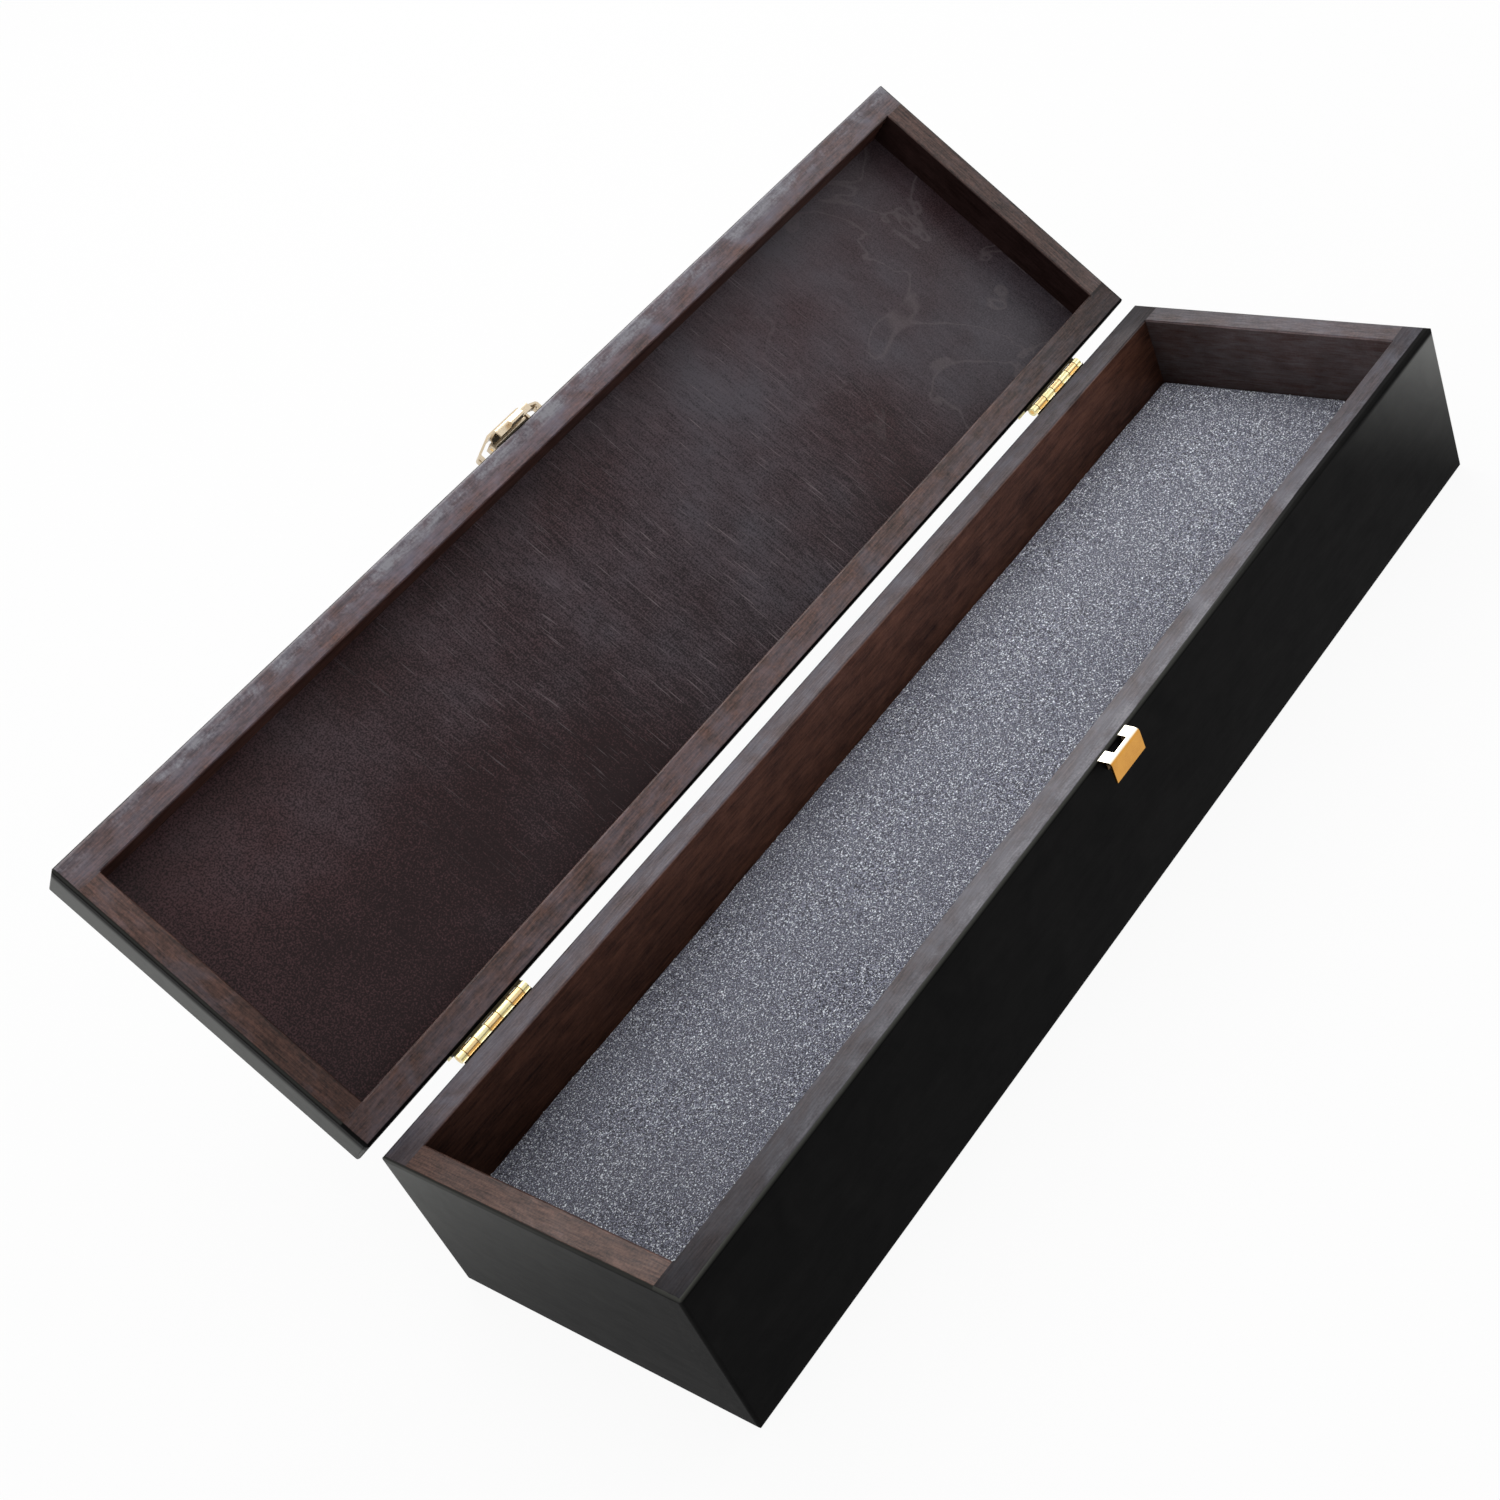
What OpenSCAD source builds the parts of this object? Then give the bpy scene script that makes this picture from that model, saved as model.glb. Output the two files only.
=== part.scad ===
// Knife presentation box.
// A long wooden box with a shallow hinged lid, a bed of foam, two brass hinges
// behind and a sprung push catch in front. It stands with its underside on z = 0,
// its length along x and its front at -y. The lid is drawn open.

/* [Box] */
// Outside length
box_length = 410; // [360:5:480]
// Outside width
box_width = 117; // [100:1:150]
// Height of the base
base_height = 57; // [50:1:80]
// Height of the lid
lid_height = 18; // [17:1:30]
// Thickness of the front and back boards
side_board = 10; // [9:0.5:14]
// Thickness of the end boards
end_board = 9; // [8:0.5:14]
// Thickness of the bottom panel and of the lid panel
panel_thickness = 4; // [3:0.5:6]
// How far a panel laps onto the boards around it
panel_lap = 5; // [3:0.5:6]
// Radius of the outer edges
arris_radius = 1.2; // [0.6:0.1:2]
// Width of the eased inner edges of both rims
rim_ease = 0.5; // [0.2:0.1:1]
// Thickness of the foam
foam_thickness = 27; // [15:1:35]

/* [Lid] */
// Angle of the lid from shut
lid_angle = 132; // [0:1:190]
// Gap between the two rims when the lid is shut
rim_gap = 0.3; // [0.2:0.1:0.6]

/* [Hinges] */
// Length of a hinge
hinge_length = 30; // [26:1:40]
// Distance of the middle of each hinge from the end of the box
hinge_inset = 51; // [25:1:100]
// Height of a leaf
leaf_height = 8.5; // [8:0.5:12]
// Thickness of the leaf sheet
leaf_thickness = 0.7; // [0.6:0.05:0.8]
// Outer radius of the knuckles
knuckle_radius = 1.6; // [1.5:0.05:1.8]
// Radius of the hinge pin
hinge_pin_radius = 0.85; // [0.6:0.05:0.9]
// Distance of the hinge axis behind the back of the box
axis_setback = 2.4; // [2.4:0.1:3.2]
// Gap between two knuckles along the pin
knuckle_gap = 0.3; // [0.2:0.05:0.4]
// Radius of a screw head
screw_head_radius = 1.6; // [1.3:0.1:1.8]
// Radius of a screw shank
screw_shank_radius = 0.8; // [0.6:0.1:1]
// Length of a screw under its head
screw_length = 7; // [5:0.5:8]

/* [Catch] */
// Width of the keeper and of the push plate
catch_width = 15.3; // [13:0.1:20]
// How far the keeper stands out from the box
keeper_depth = 4.7; // [4.6:0.1:5.5]
// Height of the keeper
keeper_height = 7.7; // [7:0.1:10]
// Thickness of the keeper sheet
keeper_sheet = 0.75; // [0.6:0.05:0.9]
// Width of the bridge that carries the push plate
bridge_width = 29.2; // [27:0.1:34]
// How far the bridge stands out from the lid
bridge_depth = 6.3; // [6.1:0.1:7]
// Thickness of the bridge and push plate sheet
catch_sheet = 0.8; // [0.7:0.05:0.9]
// Height of the catch pin above the rim of the lid
pivot_height = 9; // [8.6:0.1:9.4]
// Distance of the catch pin from the front of the lid
pivot_depth = 2.2; // [2.1:0.05:2.4]
// Radius of the catch pin
catch_pin_radius = 0.6; // [0.5:0.05:0.7]
// Width of the hook
hook_width = 6; // [4:0.1:8]

/* [Clearances] */
// Radial play of the knuckles and of the push plate on their pins
pin_play = 0.05; // [0.02:0.01:0.08]
// Radial play of a screw shank in its hole
screw_play = 0.02; // [0:0.01:0.05]
// Gap between the push plate and the ears at its sides
ear_gap = 0.35; // [0.3:0.05:0.5]
// Gap around the hook in the keeper's notch
notch_gap = 0.5; // [0.4:0.1:0.8]

/* [Hidden] */

$fn = 48;
cut = 1;
bend_steps = 6;

inner_length = box_length - 2 * end_board;
inner_width = box_width - 2 * side_board;
panel_length = inner_length + 2 * panel_lap;
panel_width = inner_width + 2 * panel_lap;

lid_rim = base_height + rim_gap;
lid_top = lid_rim + lid_height;
axis_y = box_width / 2 + axis_setback;
axis_z = base_height + rim_gap / 2;

hinge_place = box_length / 2 - hinge_inset;
knuckle_count = 7;
knuckle_pitch = hinge_length / (knuckle_count - 1);
screw_spread = hinge_length / 2 - 5;
screw_drop = leaf_height * 0.6;
screw_head_height = 0.75;
screw_slot = 0.4;
leaf_corner = 1.2;

bend_radius = 0.9;
prong_width = 2;
prong_length = 5;
prong_place = hook_width / 2 + notch_gap + prong_width / 2;
keeper_tab = 5.5;
bridge_low = 7;
bridge_high = 12;
bridge_top_width = catch_width - 1;
bridge_shoulder = 3.3;
ear_top = 3.7;
ear_inside = catch_width / 2 + ear_gap;
ear_outside = ear_inside + catch_sheet;

lever_bottom = 0.2;
lever_knee = 6.4;
lever_barrel_radius = 1.35;
tail_depth = 0.35;
tail_top = 12;
hook_inside = 1.6;
hook_tip = 3.5;
hook_top = -1.4;
hook_bottom = -2.6;
notch_depth = 3.1;

spring_sheet = 0.25;
spring_low = 10.65;
spring_high = 11.95;
spring_gap = 0.45;

black_paint = [0.07, 0.06, 0.06];
brass = [0.80, 0.66, 0.36];
steel = [0.62, 0.62, 0.62];
foam_grey = [0.42, 0.44, 0.49];
stained_wood = [0.24, 0.17, 0.16];

// A rectangle about the origin with true round corners
module rounded_rectangle(length, width, radius) {
    square([length - 2 * radius, width], center = true);
    square([length, width - 2 * radius], center = true);
    for (sx = [-1, 1], sy = [-1, 1])
        translate([sx * (length / 2 - radius), sy * (width / 2 - radius)])
            circle(r = radius);
}

// The outer form of the base or lid, with every outer edge rounded
module rounded_block(low, height) {
    intersection() {
        translate([0, 0, low])
            linear_extrude(height)
                rounded_rectangle(box_length, box_width, arris_radius);
        translate([0, box_width / 2, low + height / 2])
            rotate([90, 0, 0])
                linear_extrude(box_width)
                    rounded_rectangle(box_length, height, arris_radius);
        translate([-box_length / 2, 0, low + height / 2])
            rotate([90, 0, 90])
                linear_extrude(box_length)
                    rounded_rectangle(box_width, height, arris_radius);
    }
}

module middle_block(length, width, low, height) {
    translate([-length / 2, -width / 2, low])
        cube([length, width, height]);
}

// A square bar turned on edge: it eases one inner edge of a rim
module ease_bar(length) {
    side = rim_ease * sqrt(2);
    rotate([45, 0, 0])
        cube([length, side, side], center = true);
}

// A front or back board: it runs the full length. side is -1 for the front
module long_board(side, low, height, rim, panel_low) {
    difference() {
        intersection() {
            rounded_block(low, height);
            translate([-box_length / 2, side * (box_width - side_board) / 2 - side_board / 2, low])
                cube([box_length, side_board, height]);
        }
        middle_block(panel_length, panel_width, panel_low, panel_thickness);
        translate([0, side * inner_width / 2, rim])
            ease_bar(inner_length);
    }
}

// An end board: it stands between the front and back boards. side is -1 for the left
module short_board(side, low, height, rim, panel_low) {
    difference() {
        intersection() {
            rounded_block(low, height);
            translate([side * (box_length - end_board) / 2 - end_board / 2, -inner_width / 2, low])
                cube([end_board, inner_width, height]);
        }
        middle_block(panel_length, panel_width, panel_low, panel_thickness);
        translate([side * inner_length / 2, 0, rim])
            rotate([0, 0, 90])
                ease_bar(inner_width + 2 * cut);
    }
}

// Turns what is drawn shut to the lid's angle
module opened() {
    translate([0, axis_y, axis_z])
        rotate([-lid_angle, 0, 0])
            translate([0, -axis_y, -axis_z])
                children();
}

function unit(v) = v / norm(v);
function left_of(v) = [-v[1], v[0]];
function spun(v, a) = [v[0] * cos(a) - v[1] * sin(a), v[0] * sin(a) + v[1] * cos(a)];
function turn(u, v) = atan2(u[0] * v[1] - u[1] * v[0], u[0] * v[0] + u[1] * v[1]);
function reversed(list) = [for (i = [len(list) - 1 : -1 : 0]) list[i]];

// One side of a bend at b, between a and c
function bend(a, b, c, radius, side) =
    let (
        along = unit(b - a),
        angle = turn(along, unit(c - b)),
        hand = sign(angle),
        centre = b - along * radius * tan(abs(angle) / 2) + left_of(along) * radius * hand
    )
    [for (i = [0 : bend_steps])
        centre - spun(left_of(along), angle * i / bend_steps) * (radius * hand - side)];

// One side of a bent sheet whose middle line follows the path
function sheet_side(path, radius, side) =
    let (
        last = len(path) - 1,
        start = left_of(unit(path[1] - path[0])) * side,
        end = left_of(unit(path[last] - path[last - 1])) * side
    )
    concat(
        [path[0] + start],
        [for (i = [1 : 1 : last - 1]) each bend(path[i - 1], path[i], path[i + 1], radius, side)],
        [path[last] + end]
    );

module bent_sheet(path, sheet, radius = bend_radius) {
    polygon(concat(
        sheet_side(path, radius, sheet / 2),
        reversed(sheet_side(path, radius, -sheet / 2))
    ));
}

// Extrudes a side view, drawn as distance out from the front and height above a rim
module across(width, rim) {
    translate([-width / 2, -box_width / 2, rim])
        rotate([90, 0, 90])
            linear_extrude(width)
                mirror([1, 0])
                    children();
}

// Extrudes a top view, drawn as x and distance out from the front, between two heights
module upward(low, high) {
    translate([0, -box_width / 2, lid_rim + low])
        linear_extrude(high - low)
            mirror([0, 1])
                children();
}

// Prongs that hold a catch part in the wood, and the slots that they fill
module keeper_prongs() {
    for (s = [-1, 1])
        translate([s * prong_place - prong_width / 2, -box_width / 2, base_height - keeper_tab])
            cube([prong_width, prong_length, keeper_sheet]);
}

module bridge_prongs() {
    middle = (ear_outside + bridge_width / 2) / 2;
    for (s = [-1, 1])
        translate([s * middle - prong_width / 2, -box_width / 2, lid_rim + pivot_height])
            cube([prong_width, prong_length, catch_sheet]);
}

// The screw holes of one leaf, drawn along y from the leaf's own back face
module at_screws(height) {
    for (s = [-1, 1])
        translate([s * screw_spread, box_width / 2, height])
            rotate([90, 0, 0])
                children();
}

module screw_bores(height) {
    for (place = [-hinge_place, hinge_place])
        translate([place, 0, 0])
            at_screws(height)
                translate([0, 0, -cut])
                    cylinder(
                        r = screw_shank_radius + screw_play,
                        h = cut + screw_length - leaf_thickness
                    );
}

base_screw_height = base_height - screw_drop;
lid_screw_height = lid_rim + screw_drop;

module front_board() {
    color(black_paint)
        difference() {
            long_board(-1, 0, base_height, base_height, 0);
            keeper_prongs();
        }
}

module back_board() {
    color(black_paint)
        difference() {
            long_board(1, 0, base_height, base_height, 0);
            screw_bores(base_screw_height);
        }
}

module left_end_board() {
    color(black_paint)
        short_board(-1, 0, base_height, base_height, 0);
}

module right_end_board() {
    color(black_paint)
        short_board(1, 0, base_height, base_height, 0);
}

module bottom_panel() {
    color(black_paint)
        middle_block(panel_length, panel_width, 0, panel_thickness);
}

module foam_insert() {
    color(foam_grey)
        middle_block(inner_length, inner_width, panel_thickness, foam_thickness);
}

module lid_front_rail() {
    color(black_paint)
        opened()
            difference() {
                long_board(-1, lid_rim, lid_height, lid_rim, lid_top - panel_thickness);
                bridge_prongs();
            }
}

module lid_back_rail() {
    color(black_paint)
        opened()
            difference() {
                long_board(1, lid_rim, lid_height, lid_rim, lid_top - panel_thickness);
                screw_bores(lid_screw_height);
            }
}

module lid_left_rail() {
    color(black_paint)
        opened()
            short_board(-1, lid_rim, lid_height, lid_rim, lid_top - panel_thickness);
}

module lid_right_rail() {
    color(black_paint)
        opened()
            short_board(1, lid_rim, lid_height, lid_rim, lid_top - panel_thickness);
}

module lid_panel() {
    color(stained_wood)
        opened()
            middle_block(panel_length, panel_width, lid_top - panel_thickness, panel_thickness);
}

// The flat of a leaf below its rim, with the two corners away from the rim rounded
module leaf_plate() {
    translate([0, box_width / 2 + leaf_thickness, 0])
        rotate([90, 0, 0])
            linear_extrude(leaf_thickness)
                difference() {
                    union() {
                        translate([0, -leaf_height / 2])
                            rounded_rectangle(hinge_length, leaf_height, leaf_corner);
                        translate([-hinge_length / 2, -leaf_height / 2])
                            square([hinge_length, leaf_height / 2]);
                    }
                    for (s = [-1, 1])
                        translate([s * screw_spread, -screw_drop])
                            circle(r = screw_shank_radius + screw_play);
                }
}

// Knuckles first, first + 2 ... of the row, with the web that joins them to the leaf.
// The end knuckles are half as long as the others.
module knuckles(first, bore) {
    half = hinge_length / 2;
    for (i = [first : 2 : knuckle_count - 1]) {
        low = max(-half, (i - 0.5) * knuckle_pitch - half + knuckle_gap / 2);
        high = min(half, (i + 0.5) * knuckle_pitch - half - knuckle_gap / 2);
        difference() {
            union() {
                translate([low, axis_y, rim_gap / 2])
                    rotate([0, 90, 0])
                        cylinder(r = knuckle_radius, h = high - low);
                translate([low, box_width / 2, -leaf_thickness])
                    cube([high - low, axis_setback, leaf_thickness]);
            }
            translate([low - cut, axis_y, rim_gap / 2])
                rotate([0, 90, 0])
                    cylinder(r = bore, h = high - low + 2 * cut);
        }
    }
}

// A leaf hangs below z = 0, which is the rim that it stands at
module base_leaf(place) {
    color(brass)
        translate([place, 0, base_height]) {
            leaf_plate();
            knuckles(1, hinge_pin_radius + pin_play);
        }
}

module lid_leaf(place) {
    color(brass)
        opened()
            translate([place, 0, lid_rim])
                mirror([0, 0, 1]) {
                    leaf_plate();
                    knuckles(0, hinge_pin_radius);
                }
}

module hinge_pin(place) {
    color(brass)
        translate([place - hinge_length / 2, axis_y, axis_z])
            rotate([0, 90, 0])
                cylinder(r = hinge_pin_radius, h = hinge_length);
}

module left_hinge_base_leaf() base_leaf(-hinge_place);
module right_hinge_base_leaf() base_leaf(hinge_place);
module left_hinge_lid_leaf() lid_leaf(-hinge_place);
module right_hinge_lid_leaf() lid_leaf(hinge_place);
module left_hinge_pin() hinge_pin(-hinge_place);
module right_hinge_pin() hinge_pin(hinge_place);

// A round-head screw with a slot, whose shank points into the wood
module screw() {
    dome = (pow(screw_head_radius, 2) + pow(screw_head_height, 2)) / (2 * screw_head_height);
    translate([0, 0, -leaf_thickness])
        cylinder(r = screw_shank_radius, h = screw_length);
    translate([0, 0, -leaf_thickness])
        difference() {
            intersection() {
                translate([0, 0, dome - screw_head_height])
                    sphere(r = dome);
                translate([0, 0, -screw_head_height])
                    cylinder(r = screw_head_radius + cut, h = screw_head_height);
            }
            translate([-screw_head_radius - cut, -screw_slot / 2, -screw_head_height - cut])
                cube([2 * (screw_head_radius + cut), screw_slot, cut + screw_head_height / 2]);
        }
}

module base_hinge_screws() {
    color(brass)
        for (place = [-hinge_place, hinge_place])
            translate([place, 0, 0])
                at_screws(base_screw_height)
                    screw();
}

module lid_hinge_screws() {
    color(brass)
        opened()
            for (place = [-hinge_place, hinge_place])
                translate([place, 0, 0])
                    at_screws(lid_screw_height)
                        screw();
}

// The keeper: a bent sheet, open below, with a notch in its top for the hook.
// Two narrow tabs at its ends go down the wood and end in its prongs.
module keeper() {
    t = keeper_sheet / 2;
    notch_width = hook_width + 2 * notch_gap;
    color(brass) {
        difference() {
            across(catch_width, base_height)
                bent_sheet([
                    [0, -t],
                    [keeper_depth - t, -t],
                    [keeper_depth - t, -keeper_height]
                ], keeper_sheet);
            across(notch_width, base_height)
                translate([-cut, -2 * keeper_sheet])
                    square([cut + notch_depth, 3 * keeper_sheet]);
        }
        for (s = [-1, 1])
            translate([s * prong_place, 0, 0])
                across(prong_width, base_height)
                    translate([0, -keeper_tab])
                        square([keeper_sheet, keeper_tab - t]);
        keeper_prongs();
    }
}

// The bridge: a strap that arches over the push plate, with its feet turned in
// under the shoulders and its ends turned up as ears for the pin
module latch_bridge() {
    t = catch_sheet / 2;
    half = bridge_width / 2;
    top_half = bridge_top_width / 2;
    ear = ear_inside + t;
    color(brass)
        opened() {
            difference() {
                upward(bridge_low, bridge_high)
                    bent_sheet([
                        [-ear, ear_top],
                        [-ear, t],
                        [-half + t, t],
                        [-half + t, bridge_shoulder],
                        [-top_half, bridge_depth - t],
                        [top_half, bridge_depth - t],
                        [half - t, bridge_shoulder],
                        [half - t, t],
                        [ear, t],
                        [ear, ear_top]
                    ], catch_sheet);
                pin_rod(catch_pin_radius, bridge_width);
            }
            bridge_prongs();
        }
}

// A rod on the axis of the push plate
module pin_rod(radius, length) {
    translate([-length / 2, -box_width / 2 - pivot_depth, lid_rim + pivot_height])
        rotate([0, 90, 0])
            cylinder(r = radius, h = length);
}

// The push plate, bent from one sheet: barrel and tail above, hook below.
// Pressing its front swings the hook back out of the keeper.
module latch_lever() {
    t = catch_sheet / 2;
    low = lever_bottom + t;
    color(brass)
        opened()
            difference() {
                union() {
                    across(catch_width, lid_rim) {
                        bent_sheet([
                            [pivot_depth, pivot_height],
                            [keeper_depth - t + 0.3, lever_knee],
                            [keeper_depth - t, low],
                            [hook_inside, low]
                        ], catch_sheet);
                        translate([pivot_depth, pivot_height])
                            circle(r = lever_barrel_radius);
                        translate([tail_depth, pivot_height])
                            square([catch_sheet, tail_top - pivot_height]);
                    }
                    across(hook_width, lid_rim)
                        polygon([
                            [hook_inside, low],
                            [hook_inside, hook_bottom],
                            [hook_inside + catch_sheet, hook_bottom],
                            [hook_tip, hook_top - 0.3],
                            [hook_tip, hook_top],
                            [hook_inside + catch_sheet, hook_top],
                            [hook_inside + catch_sheet, low]
                        ]);
                }
                pin_rod(catch_pin_radius + pin_play, bridge_width);
            }
}

module latch_pin() {
    color(brass)
        opened()
            pin_rod(catch_pin_radius, 2 * ear_outside);
}

// A bowed leaf spring between the bridge and the tail of the push plate
module latch_spring() {
    t = spring_sheet / 2;
    top = bridge_depth - catch_sheet - t;
    foot = tail_depth + catch_sheet + spring_gap + t;
    color(steel)
        opened()
            upward(spring_low, spring_high)
                bent_sheet([
                    [-5.5, top],
                    [-3.5, top],
                    [-1.5, foot],
                    [1.5, foot],
                    [3.5, top],
                    [5.5, top]
                ], spring_sheet, 0.5);
}

front_board();
back_board();
left_end_board();
right_end_board();
bottom_panel();
foam_insert();
lid_front_rail();
lid_back_rail();
lid_left_rail();
lid_right_rail();
lid_panel();
left_hinge_base_leaf();
left_hinge_lid_leaf();
left_hinge_pin();
right_hinge_base_leaf();
right_hinge_lid_leaf();
right_hinge_pin();
base_hinge_screws();
lid_hinge_screws();
keeper();
latch_bridge();
latch_lever();
latch_pin();
latch_spring();
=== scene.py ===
# %% [markdown]
# A wooden knife box, photographed open. Four boards and a bottom make the base, four rails
# and a thin panel make the lid, two small brass hinges join them, and a bent brass catch
# closes the front. The CAD model already holds every piece at its real size. This lesson
# loads it, gives each piece the finish that it has in the photograph, and models the foam
# pad again with soft edges, because a CAD block can't show foam.

# %% Load the CAD model
import math
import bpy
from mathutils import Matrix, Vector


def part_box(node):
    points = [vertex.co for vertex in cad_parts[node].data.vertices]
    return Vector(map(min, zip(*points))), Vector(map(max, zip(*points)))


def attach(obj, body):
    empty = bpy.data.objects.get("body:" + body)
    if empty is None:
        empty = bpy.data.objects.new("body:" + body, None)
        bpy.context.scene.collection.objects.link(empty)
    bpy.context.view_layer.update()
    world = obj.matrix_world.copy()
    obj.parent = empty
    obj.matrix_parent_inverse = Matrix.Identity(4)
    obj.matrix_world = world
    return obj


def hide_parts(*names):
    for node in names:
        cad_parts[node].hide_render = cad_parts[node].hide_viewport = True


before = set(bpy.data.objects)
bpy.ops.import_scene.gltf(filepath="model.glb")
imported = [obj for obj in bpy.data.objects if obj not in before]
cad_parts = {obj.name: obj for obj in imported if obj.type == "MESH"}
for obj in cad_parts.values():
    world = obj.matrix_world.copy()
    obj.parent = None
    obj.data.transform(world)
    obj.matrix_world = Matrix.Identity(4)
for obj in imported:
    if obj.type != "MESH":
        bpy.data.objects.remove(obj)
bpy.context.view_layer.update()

from types import SimpleNamespace

import bpy
from mathutils import Matrix, Vector

# %% [markdown]
# The numbers below repeat the sizes that the finishes need: where the outside faces lie,
# how high the rim and the shut box are, and where the hinge line runs. The lid is drawn
# open, so its pieces are turned back by the same angle before a pattern reads their place.
# When the box is shut, the rims of base and lid lie 0.3 mm apart.

# %% Sizes that the finishes need, in metres
MM = 0.001
HALF_LENGTH = 205 * MM
HALF_WIDTH = 58.5 * MM
RIM_HEIGHT = 57 * MM
BOX_HEIGHT = 75.3 * MM
HINGE_LINE = Vector((0, 60.9 * MM, 57.15 * MM))
LID_ANGLE = math.radians(132)
RIM_MIDDLE = RIM_HEIGHT + 0.15 * MM
print("shut box, mm:", round(2 * HALF_LENGTH / MM), round(2 * HALF_WIDTH / MM),
      round(BOX_HEIGHT / MM, 1))

# %% [markdown]
# The camera repeats the place from which the photograph was taken. It was found by fitting
# the corners of the box in the picture, so its direction is a measured one. A small shift
# is left in it because the photograph is a crop.

# %% Camera
SENSOR_WIDTH = 36
PHOTO_WIDTH = 1500      # pixels
FOCAL_PIXELS = 2319.8
EYE = (-0.36473, -0.42012, 0.48669)
RIGHT = Vector((0.577681, -0.741584, -0.341083))
UP = Vector((0.661293, 0.180229, 0.728155))
FORWARD = Vector((0.478515, 0.646197, -0.594519))

camera_data = bpy.data.cameras.new("photo camera")
camera_data.sensor_width = SENSOR_WIDTH
camera_data.lens = SENSOR_WIDTH * FOCAL_PIXELS / PHOTO_WIDTH
camera_data.shift_x = -50 / PHOTO_WIDTH
camera_data.shift_y = -30 / PHOTO_WIDTH
camera_data.clip_start = 0.01
camera_data.clip_end = 50
camera = bpy.data.objects.new("photo camera", camera_data)
turn = Matrix((RIGHT, UP, -FORWARD)).transposed().to_4x4()
camera.matrix_world = Matrix.Translation(EYE) @ turn
bpy.context.scene.collection.objects.link(camera)
bpy.context.scene.camera = camera
bpy.context.scene.view_settings.view_transform = "Standard"
print("lens", round(camera_data.lens, 2), "mm")

# %% [markdown]
# A material is a small network of nodes. Written out node by node it is hard to follow, so
# one class wraps an output socket and lets sums on it be written as plain Python. Each sum
# becomes a Math node behind the scenes.

# %% A socket that can be added, scaled and compared
class Wire:
    def __init__(self, recipe, socket):
        self.recipe, self.socket = recipe, socket

    def maths(self, operation, *values, clamp=False):
        node = self.recipe.tree.nodes.new("ShaderNodeMath")
        node.operation, node.use_clamp = operation, clamp
        for slot, value in zip(node.inputs, values):
            self.recipe.plug(slot, value)
        return Wire(self.recipe, node.outputs[0])

    def __add__(self, other):
        return self.maths("ADD", self, other)

    def __sub__(self, other):
        return self.maths("SUBTRACT", self, other)

    def __rsub__(self, other):
        return self.maths("SUBTRACT", other, self)

    def __mul__(self, other):
        return self.maths("MULTIPLY", self, other)

    __radd__ = __add__
    __rmul__ = __mul__

    def __abs__(self):
        return self.maths("ABSOLUTE", self)

    def cosine(self):
        return self.maths("COSINE", self)

    def most(self, other):
        return self.maths("MAXIMUM", self, other)

    def least(self, other):
        return self.maths("MINIMUM", self, other)

    def step(self, low, high):
        """0 below low, 1 above high, and a straight rise between them."""
        return self.maths("MULTIPLY", self - low, 1 / (high - low), clamp=True)


# %% [markdown]
# Every other node comes from one recipe class. Its add method makes a node of any kind and
# plugs in numbers, colours or wires, and the short methods below it name the few nodes that
# this lesson uses again and again.

# %% A recipe that adds any other node
class Recipe:
    def __init__(self, owner):
        """Starts an empty node tree for a new material or world."""
        owner.use_nodes = True
        self.owner, self.tree = owner, owner.node_tree
        self.tree.nodes.clear()

    def plug(self, socket, value):
        if isinstance(value, Wire):
            self.tree.links.new(value.socket, socket)
        elif socket.type == "RGBA" and len(value) == 3:
            socket.default_value = (*value, 1)
        else:
            socket.default_value = value

    def add(self, kind, settings=None, sockets=None, output=0):
        node = self.tree.nodes.new(kind)
        for key, value in (settings or {}).items():
            setattr(node, key, value)
        for key, value in (sockets or {}).items():
            self.plug(node.inputs[key], value)
        return Wire(self, node.outputs[output])

    def place(self, lid=False):
        """Where a point is on the closed box, in metres."""
        here = self.add("ShaderNodeTexCoord", output="Object")
        if not lid:
            return here
        back = Matrix.Rotation(LID_ANGLE, 3, "X")
        return self.add("ShaderNodeMapping", {"vector_type": "POINT"}, {
            "Vector": here, "Rotation": (LID_ANGLE, 0, 0),
            "Location": HINGE_LINE - back @ HINGE_LINE})

    def split(self, vector):
        node = self.add("ShaderNodeSeparateXYZ", None, {"Vector": vector}).socket.node
        return [Wire(self, output) for output in node.outputs]

    def noise(self, vector, scale, detail, rough, warp=0.0):
        return self.add("ShaderNodeTexNoise", None, {
            "Vector": vector, "Scale": scale, "Detail": detail, "Roughness": rough,
            "Distortion": warp})

    def grain(self, vector, scales, detail, rough, warp=0.0):
        """A noise pulled long: each axis has a scale of its own."""
        pulled = self.add("ShaderNodeVectorMath", {"operation": "MULTIPLY"},
                          {0: vector, 1: scales})
        return self.noise(pulled, 1.0, detail, rough, warp)

    def blend(self, share, first, second, way="MIX"):
        node = self.tree.nodes.new("ShaderNodeMix")
        node.data_type, node.blend_type = "RGBA", way
        sockets = [socket for socket in node.inputs if socket.type == "RGBA"]
        self.plug(node.inputs[0], share)
        self.plug(sockets[0], first)
        self.plug(sockets[1], second)
        return Wire(self, [out for out in node.outputs if out.type == "RGBA"][0])

    def scaled(self, colour, factor):
        return self.add("ShaderNodeVectorMath", {"operation": "SCALE"},
                        {0: colour, "Scale": factor})

    def relief(self, height, depth, strength):
        return self.add("ShaderNodeBump", None, {
            "Height": height, "Distance": depth, "Strength": strength})

    def output(self, shader, kind="ShaderNodeOutputMaterial"):
        self.tree.links.new(shader.socket, self.tree.nodes.new(kind).inputs["Surface"])

    def finish(self, sockets):
        self.output(self.add("ShaderNodeBsdfPrincipled", None, sockets))
        return self.owner


def new_recipe(name):
    return Recipe(bpy.data.materials.new(name))


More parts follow.
